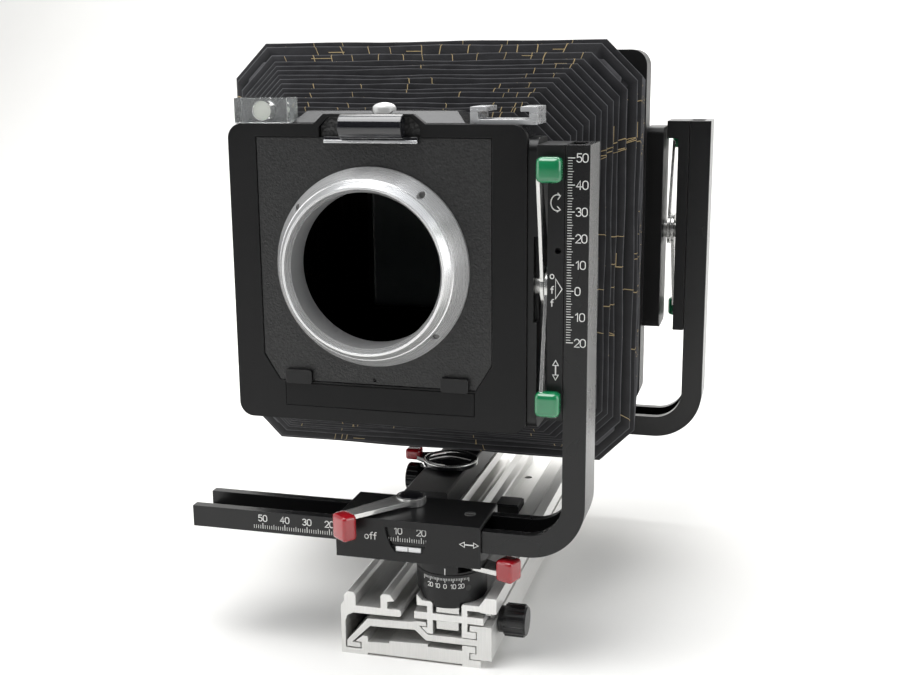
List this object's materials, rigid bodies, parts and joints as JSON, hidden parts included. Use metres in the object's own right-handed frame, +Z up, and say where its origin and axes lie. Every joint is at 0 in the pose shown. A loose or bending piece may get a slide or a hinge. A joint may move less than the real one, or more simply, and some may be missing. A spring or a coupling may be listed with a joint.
{
  "type": "view camera",
  "caption": "Rail view camera: telescoping rail, two L-arm standards that shift, rise, swing and tilt, removable lens board, pleated bellows and revolving ground-glass back.",
  "frame": {"origin": "centre of the tripod socket, on the plane of the rail feet", "axes": "+X to the right seen from the lens side, -Y the way the lens looks, +Z up"},
  "size_m": [0.2134, 0.2298, 0.254],
  "materials": {
    "rail": "satin, natural anodised",
    "steel": "brushed",
    "black_metal": "black anodised, satin",
    "black_crinkle": "black crinkle paint",
    "knob_black": "black anodised, knurled",
    "lever_bright": "bright satin",
    "red_tip": "glossy, faceted",
    "green_tip": "glossy",
    "ring_alu": "turned",
    "board_black": "pebbled black paint",
    "latch_gloss": "gloss black",
    "plate_black": "gloss black",
    "button_white": "polished",
    "level_clear": "clear acrylic",
    "vial": "spirit vial",
    "shoe_silver": "bright satin",
    "bellows_black": "creased, worn along the folds",
    "glass_ground": "ground"
  },
  "bodies": {
    "rail_base": {"rail_base": "rail", "tripod_bush": "steel"},
    "rail_middle": {"rail_middle": "rail"},
    "rail_top": {"rail_top": "rail", "focus_rack": "steel", "front_clamp_plates": "steel", "front_swing_base": "black_metal", "front_swing_pivot": "steel", "rail_stop_block": "black_metal"},
    "front_knob": {"focus_pinion_shaft": "steel", "front_focus_knob": "knob_black"},
    "front_block": {"front_shift_block": "black_metal", "front_shift_index": "lever_bright", "front_block_screws": "steel"},
    "front_swing_clamp": {"front_swing_lever": "lever_bright", "front_swing_lever_tip": "red_tip"},
    "front_shift_clamp": {"front_shift_lever": "lever_bright", "front_shift_lever_tip": "red_tip"},
    "front_arm": {"front_arm": "black_metal"},
    "front_carriage": {"front_rise_carriage": "black_metal"},
    "front_tilt_clamp": {"front_tilt_lever": "lever_bright", "front_tilt_lever_tip": "green_tip"},
    "front_rise_clamp": {"front_rise_lever": "lever_bright", "front_rise_lever_tip": "green_tip"},
    "front_frame": {"front_panel": "black_crinkle", "front_housing": "black_metal", "front_tilt_bracket": "black_metal", "front_tilt_pin": "steel", "lens_board": "board_black", "lens_ring": "ring_alu", "lens_ring_screws": "steel", "latch_backplate": "black_crinkle", "board_clips": "black_metal", "name_plate": "plate_black", "level_block": "level_clear", "level_vials": "vial", "accessory_shoe": "shoe_silver"},
    "board_latch": {"board_latch": "latch_gloss"},
    "latch_button": {"latch_button": "button_white"},
    "rear_carriage": {"rear_carriage": "black_metal"},
    "rear_knob": {"rear_focus_knob": "knob_black"},
    "rear_clamp": {"rear_clamp_lever": "knob_black", "rear_clamp_lever_tip": "red_tip"},
    "rear_block": {"rear_shift_block": "black_metal"},
    "rear_swing_clamp": {"rear_swing_lever": "lever_bright", "rear_swing_lever_tip": "red_tip"},
    "rear_shift_clamp": {"rear_shift_lever": "lever_bright", "rear_shift_lever_tip": "red_tip"},
    "rear_arm": {"rear_arm": "black_metal"},
    "rear_riser": {"rear_rise_carriage": "black_metal"},
    "rear_tilt_clamp": {"rear_tilt_lever": "lever_bright", "rear_tilt_lever_tip": "green_tip"},
    "rear_rise_clamp": {"rear_rise_lever": "lever_bright", "rear_rise_lever_tip": "green_tip"},
    "rear_frame": {"rear_frame": "black_metal", "rear_tilt_pin": "steel", "bellows": "bellows_black"},
    "revolving_back": {"revolving_back": "black_metal"},
    "glass_back": {"ground_glass_frame": "black_metal", "ground_glass": "glass_ground"}
  },
  "joints": [
    {"name": "rail_middle_slide", "type": "slide", "parent": "rail_base", "child": "rail_middle", "axis": [0, -1, 0], "range_m": [0, 0.11]},
    {"name": "rail_top_slide", "type": "slide", "parent": "rail_middle", "child": "rail_top", "axis": [0, -1, 0], "range_m": [0, 0.11], "deforming": ["bellows"]},
    {"name": "front_focus_turn", "type": "hinge", "parent": "rail_middle", "child": "front_knob", "pos_m": [0.0355, -0.089, 0.0162], "axis": [1, 0, 0], "range_deg": [-5, 1105]},
    {"name": "front_swing", "type": "hinge", "parent": "rail_top", "child": "front_block", "pos_m": [0.0139, -0.09, 0.042], "axis": [0, 0, 1], "range_deg": [-25, 25]},
    {"name": "front_swing_lever_turn", "type": "hinge", "parent": "front_block", "child": "front_swing_clamp", "pos_m": [0.0139, -0.09, 0.042], "axis": [0, 0, 1], "range_deg": [0, 35]},
    {"name": "front_shift_lever_turn", "type": "hinge", "parent": "front_block", "child": "front_shift_clamp", "pos_m": [-0.0055, -0.084, 0.063], "axis": [0, 0, 1], "range_deg": [0, 40]},
    {"name": "front_shift", "type": "slide", "parent": "front_block", "child": "front_arm", "axis": [1, 0, 0], "range_m": [-0.018, 0.064]},
    {"name": "front_rise", "type": "slide", "parent": "front_arm", "child": "front_carriage", "axis": [0, 0, 1], "range_m": [-0.02, 0.05]},
    {"name": "front_tilt", "type": "hinge", "parent": "front_carriage", "child": "front_frame", "pos_m": [0.0525, -0.092, 0.1597], "axis": [1, 0, 0], "range_deg": [-20, 20]},
    {"name": "front_tilt_lever_turn", "type": "hinge", "parent": "front_carriage", "child": "front_tilt_clamp", "pos_m": [0.0535, -0.092, 0.1597], "axis": [1, 0, 0], "range_deg": [0, 50]},
    {"name": "front_rise_lever_turn", "type": "hinge", "parent": "front_carriage", "child": "front_rise_clamp", "pos_m": [0.0545, -0.092, 0.1597], "axis": [1, 0, 0], "range_deg": [-50, 0]},
    {"name": "board_latch_slide", "type": "slide", "parent": "front_frame", "child": "board_latch", "axis": [0, 0, 1], "range_m": [0, 0.004]},
    {"name": "latch_button_press", "type": "slide", "parent": "front_frame", "child": "latch_button", "axis": [0, 0, -1], "range_m": [0, 0.0015], "stiffness_N_per_m": 600},
    {"name": "rear_carriage_slide", "type": "slide", "parent": "rail_base", "child": "rear_carriage", "axis": [0, -1, 0], "range_m": [0, 0.025]},
    {"name": "rear_focus_turn", "type": "hinge", "parent": "rear_carriage", "child": "rear_knob", "pos_m": [-0.0295, 0.032, 0.0325], "axis": [1, 0, 0], "range_deg": [-5, 255]},
    {"name": "rear_clamp_turn", "type": "hinge", "parent": "rear_carriage", "child": "rear_clamp", "pos_m": [-0.0205, 0.034, 0.042], "axis": [0, 0, 1], "range_deg": [0, 40]},
    {"name": "rear_swing", "type": "hinge", "parent": "rear_carriage", "child": "rear_block", "pos_m": [-0.0185, 0.0868, 0.042], "axis": [0, 0, 1], "range_deg": [-20, 20]},
    {"name": "rear_swing_lever_turn", "type": "hinge", "parent": "rear_block", "child": "rear_swing_clamp", "pos_m": [-0.0185, 0.0868, 0.042], "axis": [0, 0, 1], "range_deg": [0, 35]},
    {"name": "rear_shift_lever_turn", "type": "hinge", "parent": "rear_block", "child": "rear_shift_clamp", "pos_m": [-0.0255, 0.0868, 0.064], "axis": [0, 0, 1], "range_deg": [0, 40]},
    {"name": "rear_shift", "type": "slide", "parent": "rear_block", "child": "rear_arm", "axis": [1, 0, 0], "range_m": [-0.04, 0.033]},
    {"name": "rear_rise", "type": "slide", "parent": "rear_arm", "child": "rear_riser", "axis": [0, 0, 1], "range_m": [-0.002, 0.03]},
    {"name": "rear_tilt", "type": "hinge", "parent": "rear_riser", "child": "rear_frame", "pos_m": [0.0855, 0.0855, 0.1597], "axis": [1, 0, 0], "range_deg": [-10, 10]},
    {"name": "rear_tilt_lever_turn", "type": "hinge", "parent": "rear_riser", "child": "rear_tilt_clamp", "pos_m": [0.0835, 0.0855, 0.1597], "axis": [1, 0, 0], "range_deg": [-50, 0]},
    {"name": "rear_rise_lever_turn", "type": "hinge", "parent": "rear_riser", "child": "rear_rise_clamp", "pos_m": [0.0855, 0.0855, 0.1597], "axis": [1, 0, 0], "range_deg": [0, 50]},
    {"name": "back_revolve", "type": "hinge", "parent": "rear_frame", "child": "revolving_back", "pos_m": [-0.0185, 0.085, 0.16], "axis": [0, 1, 0], "range_deg": [0, 90]},
    {"name": "ground_glass_spring", "type": "slide", "parent": "revolving_back", "child": "glass_back", "axis": [0, 1, 0], "range_m": [0, 0.015], "stiffness_N_per_m": 250, "springref_m": -0.02}
  ],
  "couplings": [
    {"joint": "front_focus_turn", "follows": "rail_top_slide", "rad_per_m": 174.53},
    {"joint": "rear_focus_turn", "follows": "rear_carriage_slide", "rad_per_m": 174.53}
  ]
}
